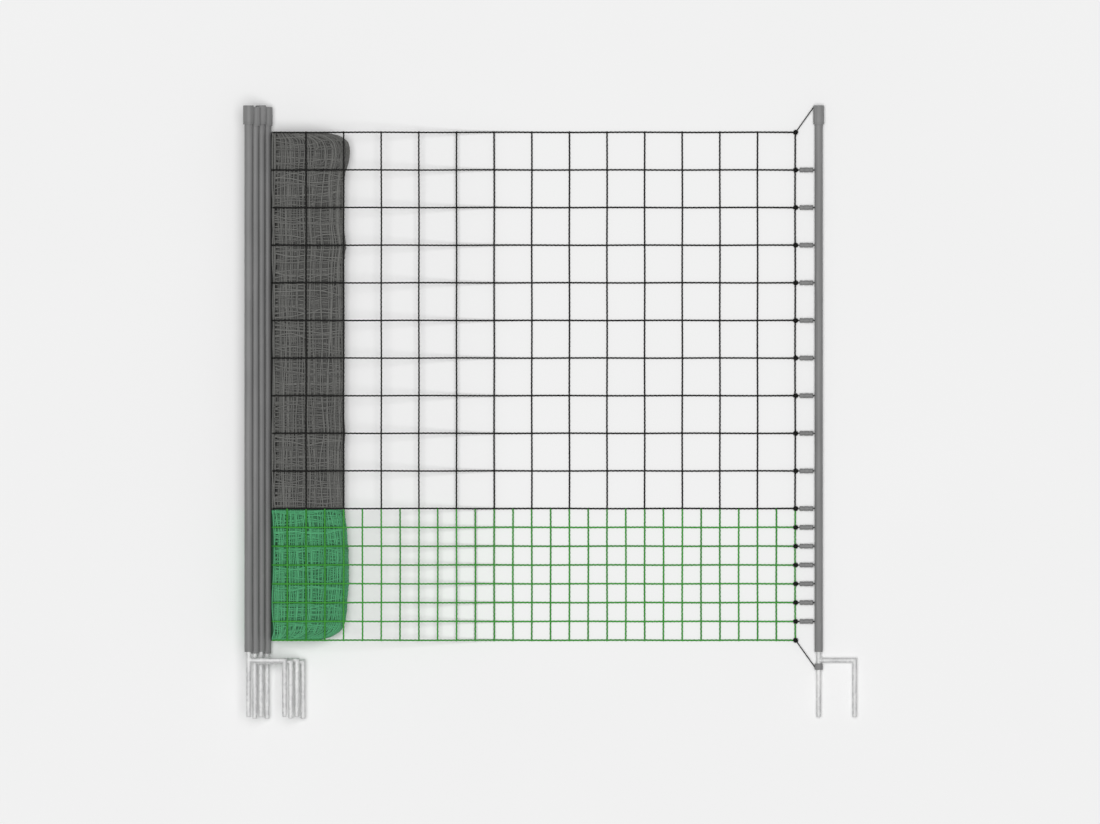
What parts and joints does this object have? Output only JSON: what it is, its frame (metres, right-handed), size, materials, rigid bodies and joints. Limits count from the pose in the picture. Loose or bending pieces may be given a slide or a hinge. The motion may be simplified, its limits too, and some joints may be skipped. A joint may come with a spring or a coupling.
{
  "type": "poultry netting with posts",
  "caption": "Poultry netting with plastic posts on double spikes, laid flat, one stretch spread out and the rest folded beside the bundled posts.",
  "frame": {"origin": "under the middle of the whole laid-out net and posts, on the floor", "axes": "+X from the post bundle to the end post, +Y up the net's height, +Z away from the floor"},
  "size_m": [1.3052, 1.3042, 0.0887],
  "materials": {
    "black_twine": "matte",
    "green_twine": "matte",
    "folded_black_net": "matte",
    "folded_green_net": "matte",
    "grey_post_plastic": "satin",
    "grey_cap_plastic": "satin",
    "grey_ferrule_plastic": "satin",
    "zinc_steel": "satin"
  },
  "bodies": {
    "root": {"net_upper": "black_twine", "net_lower": "green_twine", "folded_net_upper": "folded_black_net", "folded_net_lower": "folded_green_net", "spike_collar": "grey_ferrule_plastic", "post_tube_1": "grey_post_plastic", "post_cap_1": "grey_cap_plastic", "double_spike_1": "zinc_steel", "post_tube_2": "grey_post_plastic", "post_cap_2": "grey_cap_plastic", "double_spike_2": "zinc_steel", "post_tube_3": "grey_post_plastic", "post_cap_3": "grey_cap_plastic", "double_spike_3": "zinc_steel", "post_tube_4": "grey_post_plastic", "post_cap_4": "grey_cap_plastic", "double_spike_4": "zinc_steel", "post_tube_end": "grey_post_plastic", "post_cap_end": "grey_cap_plastic", "double_spike_end": "zinc_steel", "end_tie_01": "black_twine", "end_tie_02": "black_twine", "end_tie_03": "black_twine", "end_tie_04": "black_twine", "end_tie_05": "black_twine", "end_tie_06": "black_twine", "end_tie_07": "black_twine", "end_tie_08": "black_twine", "end_tie_09": "black_twine", "end_tie_10": "black_twine", "end_tie_11": "black_twine", "end_tie_12": "black_twine", "end_tie_13": "black_twine", "end_tie_14": "black_twine", "end_tie_15": "black_twine", "end_tie_16": "black_twine", "end_tie_17": "black_twine", "end_tie_18": "black_twine", "ferrule_01": "grey_ferrule_plastic", "ferrule_02": "grey_ferrule_plastic", "ferrule_03": "grey_ferrule_plastic", "ferrule_04": "grey_ferrule_plastic", "ferrule_05": "grey_ferrule_plastic", "ferrule_06": "grey_ferrule_plastic", "ferrule_07": "grey_ferrule_plastic", "ferrule_08": "grey_ferrule_plastic", "ferrule_09": "grey_ferrule_plastic", "ferrule_10": "grey_ferrule_plastic", "ferrule_11": "grey_ferrule_plastic", "ferrule_12": "grey_ferrule_plastic", "ferrule_13": "grey_ferrule_plastic", "ferrule_14": "grey_ferrule_plastic", "ferrule_15": "grey_ferrule_plastic", "ferrule_16": "grey_ferrule_plastic"}
  },
  "joints": []
}
